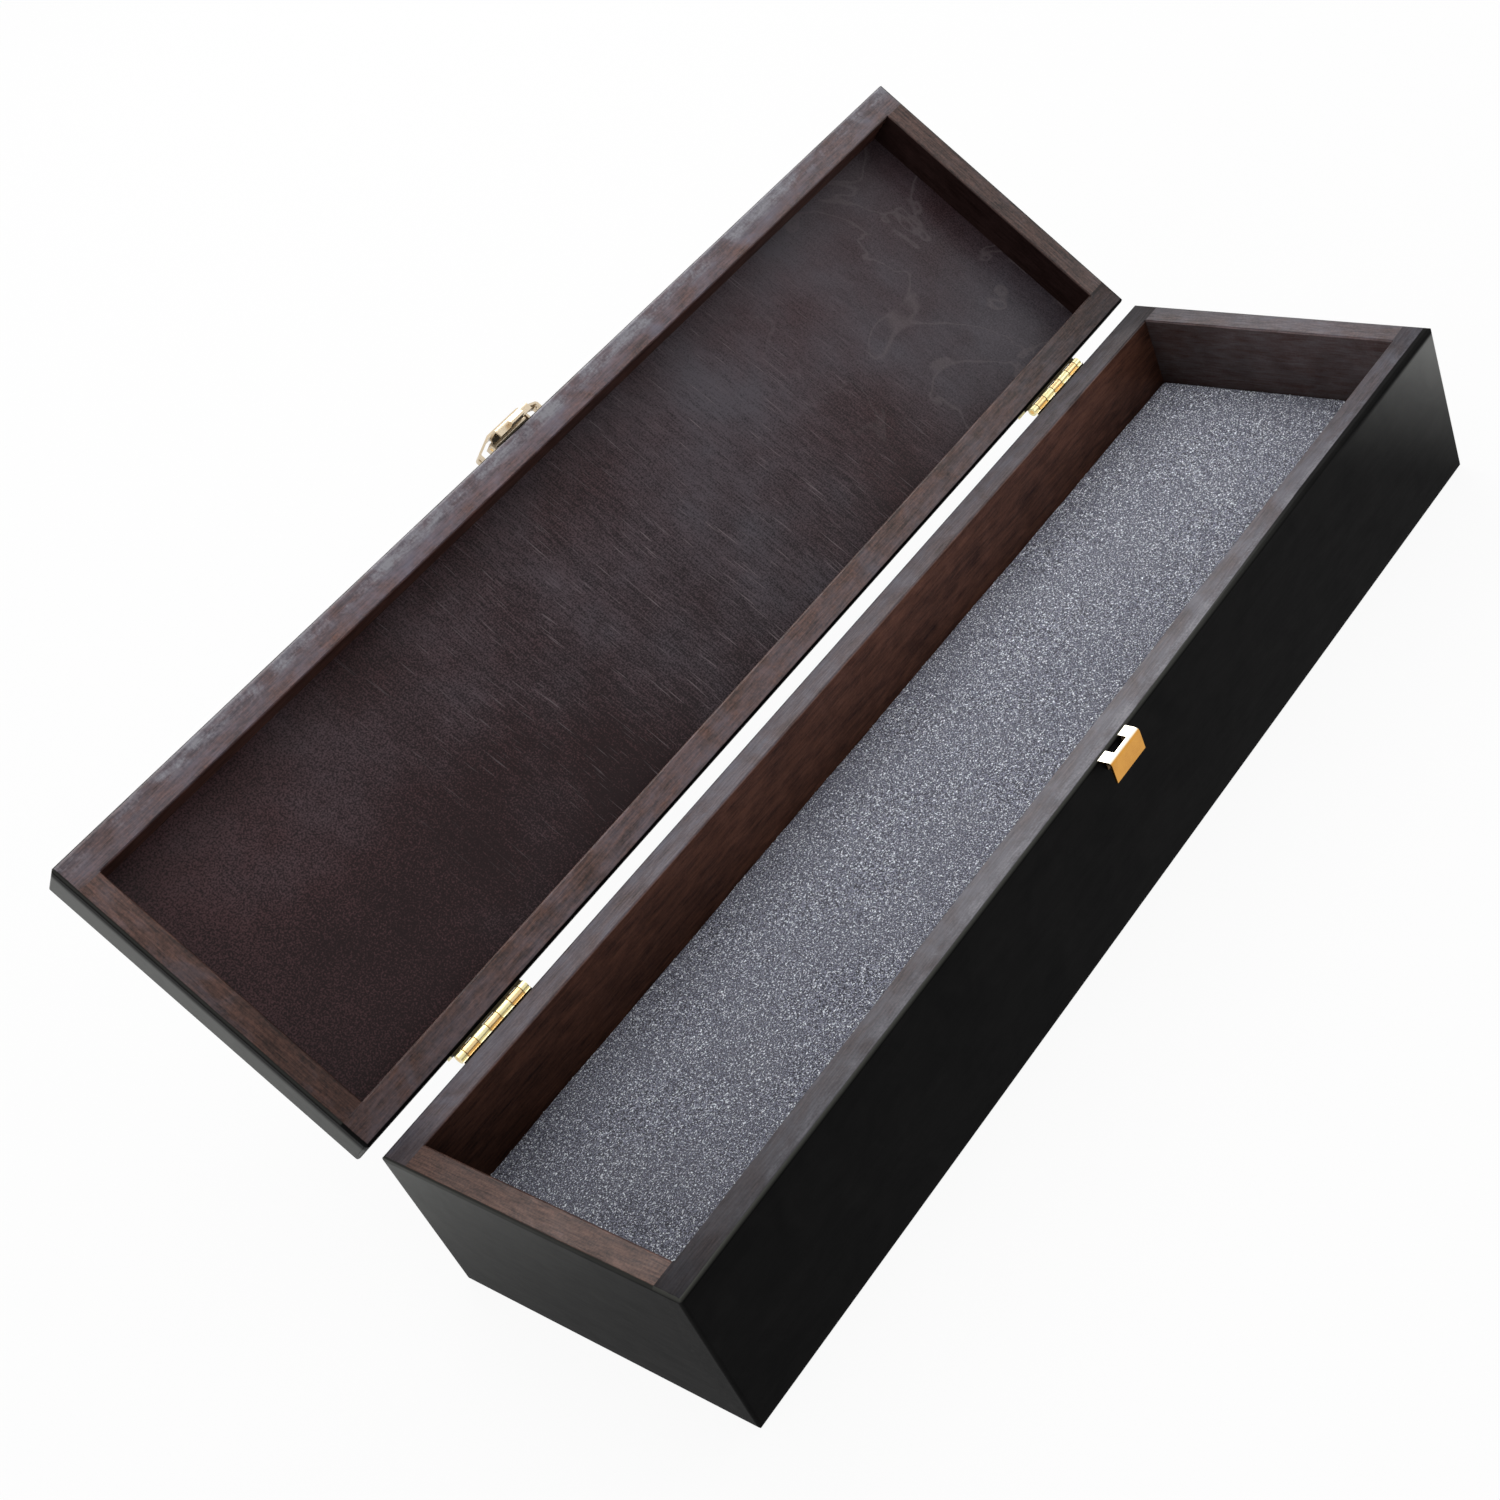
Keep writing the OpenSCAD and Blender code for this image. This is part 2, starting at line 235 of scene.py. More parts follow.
# %% [markdown]
# The studio of the photograph is plain white. A wide sheet of white paper stands in for it.
# Shaded paper would come out grey, so the floor glows for the camera and in reflections,
# and stays ordinary paper for the light that falls on the box from below.

# %% Floor
FLOOR_REACH = 14        # metres to each side
FLOOR_DROP = 0.2 * MM
GLOW_SHARE = 0.93


def seen_directly(recipe):
    """1 for camera, mirror and glass rays, 0 for the light that falls on things."""
    rays = recipe.tree.nodes.new("ShaderNodeLightPath")
    kinds = [Wire(recipe, rays.outputs[name])
             for name in ("Is Camera Ray", "Is Glossy Ray", "Is Transmission Ray")]
    return kinds[0].most(kinds[1]).most(kinds[2])


floor_paper = new_recipe("white paper floor")
paper = floor_paper.add("ShaderNodeBsdfDiffuse", None, {"Color": (0.80, 0.80, 0.80)})
glow = floor_paper.add("ShaderNodeEmission", None, {"Color": (1, 1, 1), "Strength": 1.0})
floor_paper.output(floor_paper.add("ShaderNodeMixShader", None, {
    0: seen_directly(floor_paper) * GLOW_SHARE, 1: paper, 2: glow}))

floor_mesh = bpy.data.meshes.new("floor")
floor_mesh.from_pydata([(-FLOOR_REACH, -FLOOR_REACH, 0), (FLOOR_REACH, -FLOOR_REACH, 0),
                        (FLOOR_REACH, FLOOR_REACH, 0), (-FLOOR_REACH, FLOOR_REACH, 0)],
                       [], [(0, 1, 2, 3)])
floor_mesh.materials.append(floor_paper.owner)
floor = bpy.data.objects.new("floor", floor_mesh)
floor.location = (0, 0, -FLOOR_DROP)
bpy.context.scene.collection.objects.link(floor)
print("floor", 2 * FLOOR_REACH, "m wide")


# %% [markdown]
# The real box was lit from above and a little from behind: its rims and the inside of the
# lid are pale with sheen while the outer front stays nearly black. Four large soft lamps
# repeat that, the strongest behind on the right, and the world gives an even light that
# looks white in reflections. The lamps stay at a plain level.

# %% World and lamps
WORLD_LIGHT = 0.30
world = bpy.data.worlds.new("even white world")
bpy.context.scene.world = world
sky = Recipe(world)
light = sky.add("ShaderNodeBackground", None, {"Color": (1, 1, 1), "Strength": WORLD_LIGHT})
white = sky.add("ShaderNodeBackground", None, {"Color": (1, 1, 1), "Strength": 1.0})
sky.output(sky.add("ShaderNodeMixShader", None, {0: seen_directly(sky), 1: light, 2: white}),
           "ShaderNodeOutputWorld")


def soft_lamp(name, place, aim, size, power):
    data = bpy.data.lights.new(name, "AREA")
    data.shape, data.size, data.size_y, data.energy = "RECTANGLE", size[0], size[1], power
    lamp = bpy.data.objects.new(name, data)
    lamp.location = place
    lamp.rotation_mode = "QUATERNION"
    lamp.rotation_quaternion = (Vector(aim) - Vector(place)).to_track_quat("-Z", "Y")
    bpy.context.scene.collection.objects.link(lamp)
    print(name, power, "W")


soft_lamp("overhead softbox", (0.1, 0.15, 1.7), (0, 0.05, 0), (1.6, 1.2), 11)
soft_lamp("back right softbox", (0.80, 1.2, 1.25), (0, 0, 0.05), (1.2, 1.1), 16)
soft_lamp("front right softbox", (1.5, -0.7, 0.7), (0.1, 0.05, 0.05), (0.9, 0.8), 5)
soft_lamp("left softbox", (-1.5, -0.1, 0.8), (0, 0, 0.05), (1.0, 0.9), 6)

# %% [markdown]
# The boards are one stained hardwood, and their outside is painted almost black. A picture
# of wood could be wrapped round each board, but noise needs no unwrapping and runs on
# across corners. So each material asks where a point is on the closed box, and mixes the
# colours below for rims, inside walls and outside.

# %% Stain and paint colours
STAIN_DEEP = (0.024, 0.0105, 0.0085)
STAIN_WARM = (0.118, 0.052, 0.037)
STAIN_RED = (0.165, 0.069, 0.043)
# Grey of the rims: rubbed wear and painted sheen.
STAIN_GREY_AND_SHEEN = (0.076, 0.069, 0.090)
STAIN_COOL = (0.044, 0.037, 0.038)
STAIN_DARK = (0.070, 0.036, 0.033)
# Pale line on the front rim: partly wear, partly a painted highlight.
STAIN_WORN_AND_LIT = (0.26, 0.255, 0.28)
PAINT_DARK = (0.0008, 0.0008, 0.0009)
PAINT_WORN = (0.0048, 0.0046, 0.0046)
# Painted sheen on the ends and corner, then a painted highlight on the arris.
PAINT_SHEEN = (0.078, 0.080, 0.075)
PAINT_ARRIS_HIGHLIGHT = (0.055, 0.056, 0.047)
print("darkest paint", PAINT_DARK, "palest stain", STAIN_WORN_AND_LIT)

# %% [markdown]
# No two boards of the real box look the same: one rim is greyer, one wall is redder, one
# end is darker. One recipe with settings can follow that. These are its ordinary values.

# %% Settings of an ordinary board
PLAIN_BOARD = {
    "lengthways": True,         # its grain runs along the box, not across it
    "lid": False,               # it belongs to the lid
    "inside": STAIN_WARM,       # stain of its inside wall
    "rim_stain": STAIN_WARM,    # stain of its rim
    "grey": 0.5,                # how much of the rim turns grey: rubbed wear and painted sheen
    "contrast": 0.8,            # strength of the grain
    "rim_tones": (1, 1, 1),     # brightness of the rim: first end, middle, other end
    "wall_tones": (1, 1, 1),    # brightness along the inside wall, which also paints its shade
    "dark_ends": 0.0,           # how much darker both ends are
    "wrapped": 0.0,             # how far the paint comes onto the rim at the right end
    "bare": 0,                  # 1 where the stain reaches over the outer arris
    "shine": 0.5,               # painted highlight on the outer arris
}
print("settings of a board:", ", ".join(PLAIN_BOARD))

# %% [markdown]
# Wood grain is noise pulled long along the board. Five noises are enough: a broad figure,
# fine pores, a short mottle, round grit and large patches of wear. They are collected with
# the place on the box, since stain, paint and relief all read them.

# %% The noises of one board
def board_patterns(recipe, look):
    here = recipe.place(look.lid)
    x, y, z = recipe.split(here)
    if look.lengthways:
        along, outward = x * (1 / HALF_LENGTH), (abs(y) - HALF_WIDTH) * 100 + 1
    else:
        along, outward = y * (1 / HALF_WIDTH), (abs(x) - HALF_LENGTH) * 110 + 1

    def scales(long, across):
        return (long, across, across) if look.lengthways else (across, long, across)

    return SimpleNamespace(
        x=x, y=y, z=z, along=along, outward=outward,
        figure=recipe.grain(here, scales(30, 240), 4, 0.6, 0.7),
        pores=recipe.grain(here, scales(130, 1700), 2, 0.6),
        mottle=recipe.grain(here, scales(110, 420), 3, 0.6, 0.4),
        grit=recipe.noise(here, 1300.0, 1, 0.5),
        patches=recipe.noise(here, 62.0, 4, 0.6, 0.8))


# %% [markdown]
# The stain runs between a deep and a warm brown with the grain, and the rims turn grey
# towards the outside, partly rubbed and partly a painted sheen. A smooth curve over the
# length sets each board's tone, and on the inside walls it also paints shade: they are
# painted darker towards the foam. Along the front rim runs a pale line, partly worn by
# hands and partly a painted highlight.

# %% Stained wood
ENDS_FROM = 186 * MM
WALL_LEVEL = 44 * MM
WORN_AND_LIT_INSET = 2.6 * MM


def bow(place, tones):
    """A smooth change of tone along a board: its first end, its middle, its other end."""
    first, middle, last = tones
    return place * ((last - first) / 2) + place * place * ((last + first) / 2 - middle) + middle


def stained(recipe, at, look, rim):
    """The colour of the stain, then the streaks and the tone that the varnish follows."""
    streak = ((at.figure - 0.5) * 1.5 + (at.pores - 0.5) * 1.8 + (at.mottle - 0.5) * 1.5
              + (at.grit - 0.5) * (rim * 0.6 + 0.7))
    streak = (streak * look.contrast + 0.5).step(0.0, 1.0)
    stain = recipe.blend(streak, STAIN_DEEP, recipe.blend(rim, look.inside, look.rim_stain))
    # Painted sheen, partly rubbed wear: the rims turn grey towards the outside.
    grey_wear_and_sheen = ((at.patches - 0.5) * 1.5 + (at.mottle - 0.5) * 1.2 + at.outward * 0.35
             + (look.grey - 0.17))
    stain = recipe.blend((rim * grey_wear_and_sheen).step(0.0, 1.0), stain, STAIN_GREY_AND_SHEEN)

    # Tone along each board; on the inside walls the tones also paint shade.
    tone = rim * bow(at.along, look.rim_tones) + (1 - rim) * bow(at.along, look.wall_tones)
    tone = tone * (1 - (abs(at.x) - ENDS_FROM).step(0.0, 10 * MM) * look.dark_ends)
    tone = tone * ((at.patches - 0.5) * 0.8 + (at.grit * 0.3 + at.pores * 0.9 - 0.6) * rim + 1)
    # Painted shade: the inside walls are darker towards the foam and lighter towards the rim.
    if not look.lid:
        tone = tone * ((1 - rim) * (at.z - WALL_LEVEL) * 24 + 1)
    stain = recipe.scaled(stain, tone)

    # Pale line along the front rim: partly wear, partly a painted highlight where the edge
    # catches the light.
    worn_and_lit = 1 - abs(HALF_WIDTH - WORN_AND_LIT_INSET + at.y).step(0.5 * MM, 3.2 * MM)
    worn_and_lit = worn_and_lit * rim * (at.patches * 0.8 + at.mottle * 0.5 + at.grit * 0.3).step(0.74, 1.0)
    return recipe.blend(worn_and_lit * 0.40 * tone * tone, stain, STAIN_WORN_AND_LIT), streak, tone


# %% [markdown]
# The paint covers the outer faces and wraps round the outer arris, so a dark line follows
# the rim, and its edge wavers with the grain. The ends and one upper corner get a painted
# grey sheen: it is mixed in as paler paint with more coat, because a lamp that strong would
# also light the black front. A thin painted highlight runs along the outer arris.

# %% Painted outside
PAINT_DEPTH = 1.0 * MM          # how far the paint reaches in from an outer face
WAVER = 0.5 * MM                # how far its edge wanders
END_FACE = HALF_LENGTH - 0.6 * MM
ABOVE_LID_RIM = 60.5 * MM
BELOW_BASE_RIM = 54.3 * MM


def painted_side(at, wrap):
    """1 on the painted outside, 0 on the rims and the inside."""
    out = abs(at.x) - (HALF_LENGTH - PAINT_DEPTH)
    out = out.most(abs(at.y) - (HALF_WIDTH - PAINT_DEPTH) + wrap)
    out = out.most(at.z - (BOX_HEIGHT - PAINT_DEPTH)).most(0.8 * MM - at.z)
    return (out + (at.figure - 0.5) * WAVER).step(-0.12 * MM, 0.12 * MM)


def sheens(at, lid):
    """Masks for the painted sheen on the ends and the upper right corner of the front."""
    on_end = (abs(at.x) - END_FACE).step(0.0, 0.3 * MM)
    if lid:
        above_rim = (at.z - ABOVE_LID_RIM).step(0.0, 3 * MM)
        return on_end * (0.97 - at.y * 3.6) * above_rim, 0.0
    end = (at.y * 5.6 + at.z * 8.0 + 0.21).step(0.0, 1.0)
    corner = (at.x * 14 + at.z * 17 - 2.72).step(0.0, 1.0)
    below_rim = 1 - (at.z - BELOW_BASE_RIM).step(0.0, 1.2 * MM)
    return end * end * end * on_end, corner * corner * (1 - on_end) * below_rim


def painted(recipe, at, look, streak, outside, wrap):
    """The colour of the paint, then how much it shines."""
    paint = recipe.blend(at.patches.step(0.35, 0.70) * 0.7 + streak * 0.2,
                         PAINT_DARK, PAINT_WORN)
    # Painted sheen: paler paint on the ends and on the upper right corner of the front.
    end, corner = sheens(at, look.lid)
    paint = recipe.blend((end * 0.95 + corner) * (at.patches + 0.5), paint, PAINT_SHEEN)
    # Painted highlight along the outer arris, next to the rim.
    arris = (1 - abs(at.z - RIM_MIDDLE).step(0.4 * MM, 1.0 * MM)) * (1 - wrap * 600)
    arris = arris.step(0.0, 1.0) * outside * look.shine
    paint = recipe.blend(arris * 0.5, paint, PAINT_ARRIS_HIGHLIGHT)
    return paint, outside * (end * 0.245 + corner * 0.9 + 0.02) + arris * 0.30


# %% [markdown]
# One board is stain inside, paint outside, and a satin varnish that is strongest on the
# rim. The lid's front rail keeps its brown stain over the outer arris, so there the paint
# starts a little farther out. The grain also raises the surface slightly, less under the
# paint.

# %% The material of one board
def wood(name, **changes):
    look = SimpleNamespace(**{**PLAIN_BOARD, **changes})
    recipe = new_recipe(name)
    at = board_patterns(recipe, look)
    over_arris = at.outward.step(0.4, 0.6) * (look.bare * 0.7 * MM)
    rim = 1 - (abs(at.z - RIM_MIDDLE) - over_arris).step(0.3 * MM, 0.7 * MM)
    stain, streak, tone = stained(recipe, at, look, rim)

    wrap = (at.x - 20 * MM).step(0.0, 100 * MM) * look.wrapped - look.bare * 0.6 * MM
    outside = painted_side(at, wrap)
    paint, polish = painted(recipe, at, look, streak, outside, wrap)

    varnish = (rim * 0.48 + 0.32) * tone * (1 - outside)
    height = at.figure * 0.4 + at.pores * 0.3 + at.mottle * 0.3 + at.grit * 0.2
    return recipe.finish({
        "Base Color": recipe.blend(outside, stain, paint),
        "Roughness": 0.55 - streak * 0.08, "Specular IOR Level": 0.02,
        "Coat Weight": (varnish + polish).step(0.0, 1.0), "Coat Roughness": 0.36,
        "Normal": recipe.relief(height * (1 - outside * 0.75), 0.2 * MM, 0.6)})


# %% [markdown]
# The settings follow the photograph board by board. The near end board is the reddest, the
# front rim is dark at its near end and grey, and the lid's end rails are browner than its
# long ones.

# %% Boards of the base and rails of the lid
# The wall_tones below also paint shade on the inside walls, and grey also paints sheen on the
# rims.
front_wood = wood("stained wood of the front board", inside=STAIN_RED, grey=0.88,
                  rim_tones=(0.20, 0.80, 0.58), dark_ends=0.20, wrapped=1.6 * MM, shine=1.0)
back_wood = wood("stained wood of the back board", inside=STAIN_RED, grey=0.66,
                 rim_tones=(0.84, 1.00, 0.34), wall_tones=(0.35, 1.15, 1.0), dark_ends=0.45,
                 contrast=0.6)
left_end_wood = wood("stained wood of the left end board", lengthways=False, grey=-0.35,
                     inside=STAIN_COOL, rim_stain=STAIN_RED, rim_tones=(0.60, 0.58, 0.55),
                     contrast=0.55)
right_end_wood = wood("stained wood of the right end board", lengthways=False, grey=0.58,
                      inside=STAIN_COOL, rim_tones=(0.85, 0.84, 0.40),
                      wall_tones=(2.0, 1.85, 0.85))
lid_front_wood = wood("stained wood of the lid's front rail", lid=True, grey=0.60, bare=1,
                      rim_tones=(1.25, 1.70, 1.25), wall_tones=(1.05, 0.88, 0.95))
lid_back_wood = wood("stained wood of the lid's back rail", lid=True, grey=0.28, shine=0.0,
                     rim_tones=(0.66, 1.24, 0.40))
lid_left_wood = wood("stained wood of the lid's left rail", lengthways=False, lid=True,
                     grey=-0.06, inside=STAIN_DARK, rim_tones=(1.20, 0.72, 0.50),
                     wall_tones=(0.5, 0.4, 0.4))
lid_right_wood = wood("stained wood of the lid's right rail", lengthways=False, lid=True,
                      grey=-0.06, inside=STAIN_DARK, rim_tones=(0.98, 0.68, 0.86),
                      wall_tones=(0.5, 0.4, 0.4))
print("wood finishes:", front_wood.name, "|", lid_left_wood.name)

# %% [markdown]
# The thin panel in the lid is a veneer whose grain runs across the box, with silky streaks
# that wander a little. A slow noise bends the place that the fine noises read, which makes
# the streaks sway, and a second slow noise changes the brown to a cooler grey. Near the
# right end a third one draws the thin wavy lines of a ripple figure.

# %% Lid panel veneer
VENEER_BROWN = (0.045, 0.0225, 0.0245)
VENEER_GREY = (0.047, 0.041, 0.048)
VENEER_FIBRE = (0.21, 0.172, 0.182)
VENEER_RIPPLE = (0.16, 0.135, 0.14)
SHADE_LOW, SHADE_HIGH = (0.35, 0.33, 0.34), (1.9, 1.9, 1.9)


def veneer(name):
    recipe = new_recipe(name)
    here = recipe.place(lid=True)
    x, y, z = recipe.split(here)
    sway = recipe.noise(here, 9.0, 2, 0.5)
    across = x + (sway - 0.5) * 0.009 - y * 0.04
    bent = recipe.add("ShaderNodeCombineXYZ", None, {"X": across, "Y": y, "Z": z})
    clouds = recipe.noise(here, 13.0, 4, 0.6)
    figure = recipe.grain(bent, (230, 20, 20), 3, 0.6, 0.4)
    silk = recipe.grain(bent, (1800, 150, 150), 2, 0.6)
    specks = recipe.noise(here, 1700.0, 1, 0.5)
    fibres = recipe.grain(bent, (2100, 75, 75), 1, 0.5)
    wave = recipe.noise(bent, 21.0, 3, 0.5, 1.2)

    cooler = (clouds - 0.5) * 2.8 + x * 2.4 - x * x * 12 + 0.58
    colour = recipe.blend(cooler.step(0.0, 1.0), VENEER_BROWN, VENEER_GREY)
    silky = 1 - abs(x - 15 * MM).step(60 * MM, 150 * MM)
    # Painted light: the panel is lighter towards its right end and its front edge, a little
    # less at the far right.
    painted_light = x.most(-110 * MM).least(100 * MM) * 2.3 - y * 3.4
    painted_light = painted_light - (x - 120 * MM).step(0.0, 60 * MM) * 0.2
    light = ((silk - 0.5) * (silky * 1.1 + 0.5) + (specks - 0.5) * (2.1 - x * 4)
             + (figure - 0.5) * (silky * 0.3 + 0.3) + (clouds - 0.5) * 1.7 + painted_light + 0.47)
    shade = recipe.blend(light.step(0.0, 1.0), SHADE_LOW, SHADE_HIGH)
    colour = recipe.blend(1.0, colour, shade, "MULTIPLY")
    colour = recipe.blend(fibres.step(0.67, 0.76) * silky * 0.65, colour, VENEER_FIBRE)
    ripple = (1 - abs(wave - 0.5).step(0.004, 0.016)) * (x - 80 * MM).step(0.0, 50 * MM)
    colour = recipe.blend(ripple * 0.30, colour, VENEER_RIPPLE)

    outside = (z - (BOX_HEIGHT - 1.2 * MM)).step(-0.1 * MM, 0.1 * MM)
    paint = recipe.blend(clouds.step(0.3, 0.8), PAINT_DARK, PAINT_WORN)
    return recipe.finish({
        "Base Color": recipe.blend(outside, colour, paint),
        "Roughness": 0.52 - silk * 0.14, "Specular IOR Level": 0.03,
        "Coat Weight": 0.22 - outside * 0.18, "Coat Roughness": 0.36,
        "Normal": recipe.relief(silk * 0.7 + specks * 0.3, 0.12 * MM, 0.5)})


panel_veneer = veneer("stained veneer panel")
print("panel finish:", panel_veneer.name)

# %% [markdown]
# The fittings are thin polished brass with a slight haze, so two noises move its colour and
# its roughness a little. Each hinge knuckle ends in a dark line of painted shade, the bend
# of the lid leaf beside the barrel is painted dark as shade, and the base leaf's edge gets a
# painted highlight at every other knuckle. Masks find these by their distance from the
# hinge line, so no extra pieces are needed. The keeper is a deeper gold with a painted
# highlight on its top and tabs painted dark as shade, the catch is a paler brass, and its
# spring is bright steel.

# %% Brass and spring steel
HINGE_PLACE = 154 * MM
KNUCKLE_TURN = 2 * math.pi / (10 * MM)      # a cosine that crosses zero every 5 mm
# Below: painted shade on brass, painted shade in the knuckle gaps, painted highlight on brass.
PAINTED_SHADE_BRASS = (0.012, 0.009, 0.006)
KNUCKLE_GAP_SHADE = (0.07, 0.05, 0.03)
PAINTED_HIGHLIGHT_BRASS = (0.97, 0.90, 0.74)


def metal(name, bright, dull, smooth, hazy, part=None, metallic=1.0, brushed=0.25):
    recipe = new_recipe(name)
    here = recipe.place(lid=part == "lid leaf")
    x, y, z = recipe.split(here)
    haze = recipe.noise(here, 260.0, 4, 0.6)
    brush = recipe.grain(here, (300, 3600, 3600), 2, 0.6)
    colour = recipe.blend(haze.step(0.40, 0.75), bright, dull)
    rough = haze.step(0.35, 0.75) * (hazy - smooth) + smooth

    if part in ("lid leaf", "base leaf"):
        inner = 1 - (y - (HINGE_LINE.y - 1.4 * MM)).step(-0.2 * MM, 0.2 * MM)
        near_barrel = 1 - abs(z - HINGE_LINE.z).step(2.2 * MM, 3.0 * MM)
        knuckles = ((abs(x) - HINGE_PLACE) * KNUCKLE_TURN).cosine()
        # Painted shade: a dark line in the gap between the knuckles.
        gap_shade = (1 - abs(knuckles).step(0.03, 0.12)) * near_barrel
        colour = recipe.blend(gap_shade * 0.7, colour, KNUCKLE_GAP_SHADE)
    if part == "lid leaf":
        # Painted shade on the bend of the lid leaf beside the barrel.
        colour = recipe.blend(inner * near_barrel * 0.97, colour, PAINTED_SHADE_BRASS)
        rough = rough + inner * near_barrel * 0.3
    if part == "base leaf":
        # Painted highlight on the base leaf's edge, at every other knuckle.
        own = (0 - knuckles).step(0.0, 0.3)
        colour = recipe.blend(inner * near_barrel * own, colour, PAINTED_HIGHLIGHT_BRASS)
    if part == "keeper":
        # Painted highlight on the keeper's top.
        top = (z - RIM_HEIGHT).step(-0.5 * MM, -0.2 * MM)
        # Painted shade on the tabs against the wood.
        tabs = (y + HALF_WIDTH + 0.9 * MM).step(-0.1 * MM, 0.1 * MM) * (1 - top)
        colour = recipe.blend(top, colour, PAINTED_HIGHLIGHT_BRASS)
        colour = recipe.blend(tabs * 0.9, colour, PAINTED_SHADE_BRASS)
    return recipe.finish({"Base Color": colour, "Metallic": metallic, "Roughness": rough,
                          "Normal": recipe.relief(brush, 0.01 * MM, brushed)})


brass = metal("polished brass", (0.78, 0.50, 0.18), (0.70, 0.43, 0.14), 0.17, 0.26)
brass_keeper = metal("brass keeper", (0.66, 0.32, 0.060), (0.58, 0.27, 0.048), 0.20, 0.30,
                     part="keeper")
brass_latch = metal("pale brass of the catch", (0.715, 0.60, 0.445), (0.66, 0.54, 0.38),
                    0.24, 0.32, metallic=0.7, brushed=0.06)
# The two leaves are lit and shaded copies of one brass: the lid leaf's paler colour is a
# painted highlight.
brass_base_leaf = metal("brass leaf on the base", (0.76, 0.57, 0.30), (0.68, 0.49, 0.22),
                        0.22, 0.32, part="base leaf")
brass_lid_leaf = metal("brass leaf on the lid", (0.80, 0.72, 0.41), (0.74, 0.64, 0.33),
                       0.24, 0.34, part="lid leaf")
steel = metal("bright spring steel", (0.62, 0.62, 0.63), (0.45, 0.45, 0.47), 0.20, 0.34)
print("metals:", brass.name, "|", brass_latch.name, "|", steel.name)

# %% [markdown]
# Each CAD node takes its finish by its own name, so that a stranger can find it. Pins and
# screws aren't listed: whatever is left, apart from the foam, is plain brass.

# %% Give the CAD nodes their finishes
FINISHES = {
    front_wood: ["front_board"],
    back_wood: ["back_board"],
    left_end_wood: ["left_end_board", "bottom_panel"],
    right_end_wood: ["right_end_board"],
    lid_front_wood: ["lid_front_rail"],
    lid_back_wood: ["lid_back_rail"],
    lid_left_wood: ["lid_left_rail"],
    lid_right_wood: ["lid_right_rail"],
    panel_veneer: ["lid_panel"],
    brass_latch: ["latch_lever", "latch_bridge"],
    brass_keeper: ["keeper"],
    brass_base_leaf: ["left_hinge_base_leaf", "right_hinge_base_leaf"],
    brass_lid_leaf: ["left_hinge_lid_leaf", "right_hinge_lid_leaf"],
    steel: ["latch_spring"],
}
listed = {name for names in FINISHES.values() for name in names} | {"foam_insert"}
FINISHES[brass] = sorted(set(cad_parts) - listed)
for finish, names in FINISHES.items():
    for name in names:
        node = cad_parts[name]
        node.data.materials.clear()
        node.data.materials.append(finish)
print("brass pieces:", FINISHES[brass])

# %% [markdown]
# The pad is a slab of dark grey foam, cut a little soft at its edges. Cloth simulation has
# nothing to do here, because a cut slab holds no pressure. The slab is a closed sheet of
# points: its top is a fine grid that rounds off near the edges and wavers by a fraction of
# a millimetre, and its sides go straight down to the bottom panel.

# %% Foam slab
FOAM_EDGE = 1.6 * MM
FOAM_STEP = 2.4 * MM
FOAM_SETTLED = 0.2 * MM
foam_low, foam_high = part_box("foam_insert")


def stations(low, high):
    """Places along one side: close together at the rounded ends, even between them."""
    ends = [FOAM_EDGE * (1 - math.cos(math.pi / 2 * i / 4)) for i in range(4)]
    flat = high - low - 2 * FOAM_EDGE
    count = round(flat / FOAM_STEP)
    middle = [low + FOAM_EDGE + flat * i / count for i in range(count + 1)]
    return [low + e for e in ends] + middle + [high - e for e in reversed(ends)]


def inset(value, low, high):
    """How far a place lies inside the rounded border of one side."""
    return max(0, abs(value - (low + high) / 2) - (high - low) / 2 + FOAM_EDGE)


def foam_top(x, y):
    reach = min(FOAM_EDGE, math.hypot(inset(x, foam_low.x, foam_high.x),
                                      inset(y, foam_low.y, foam_high.y)))
    round_off = FOAM_EDGE - math.sqrt(FOAM_EDGE ** 2 - reach ** 2)
    waver = 0.12 * MM * math.sin(x * 61 + 1.3) * math.sin(y * 97 + 0.4)
    waver += 0.08 * MM * math.sin(x * 143 + y * 88)
    return foam_high.z - round_off - FOAM_SETTLED + waver


def foam_mesh():
    xs = stations(foam_low.x, foam_high.x)
    ys = stations(foam_low.y, foam_high.y)
    wide, deep = len(xs), len(ys)
    top = [(x, y, foam_top(x, y)) for y in ys for x in xs]
    under = [(x, y, foam_low.z) for y in ys for x in xs]
    faces = []
    for j in range(deep - 1):
        for i in range(wide - 1):
            a = j * wide + i
            faces.append((a, a + 1, a + 1 + wide, a + wide))
            b = a + wide * deep
            faces.append((b, b + wide, b + 1 + wide, b + 1))
    rim = list(range(wide))
    rim += [j * wide + wide - 1 for j in range(1, deep)]
    rim += [(deep - 1) * wide + i for i in range(wide - 2, -1, -1)]
    rim += [j * wide for j in range(deep - 2, 0, -1)]
    for a, b in zip(rim, rim[1:] + rim[:1]):
        faces.append((b, a, a + wide * deep, b + wide * deep))
    mesh = bpy.data.meshes.new("foam pad")
    mesh.from_pydata(top + under, [], faces)
    mesh.validate()
    mesh.shade_smooth()
    return mesh


foam_pad = bpy.data.objects.new("foam_pad", foam_mesh())
bpy.context.scene.collection.objects.link(foam_pad)
print("foam faces:", len(foam_pad.data.polygons))

# %% [markdown]
# Foam of this grade is full of fine open cells. From above they read as a salt and pepper
# speckle: dark mouths, grey walls, and small glints, which are painted highlights, more of
# them towards the back and the right. They are colour and relief at about half a
# millimetre, since modelling each cell would take millions of faces. The slab is also
# painted darker towards its left end and, on its right half, lighter towards the back.

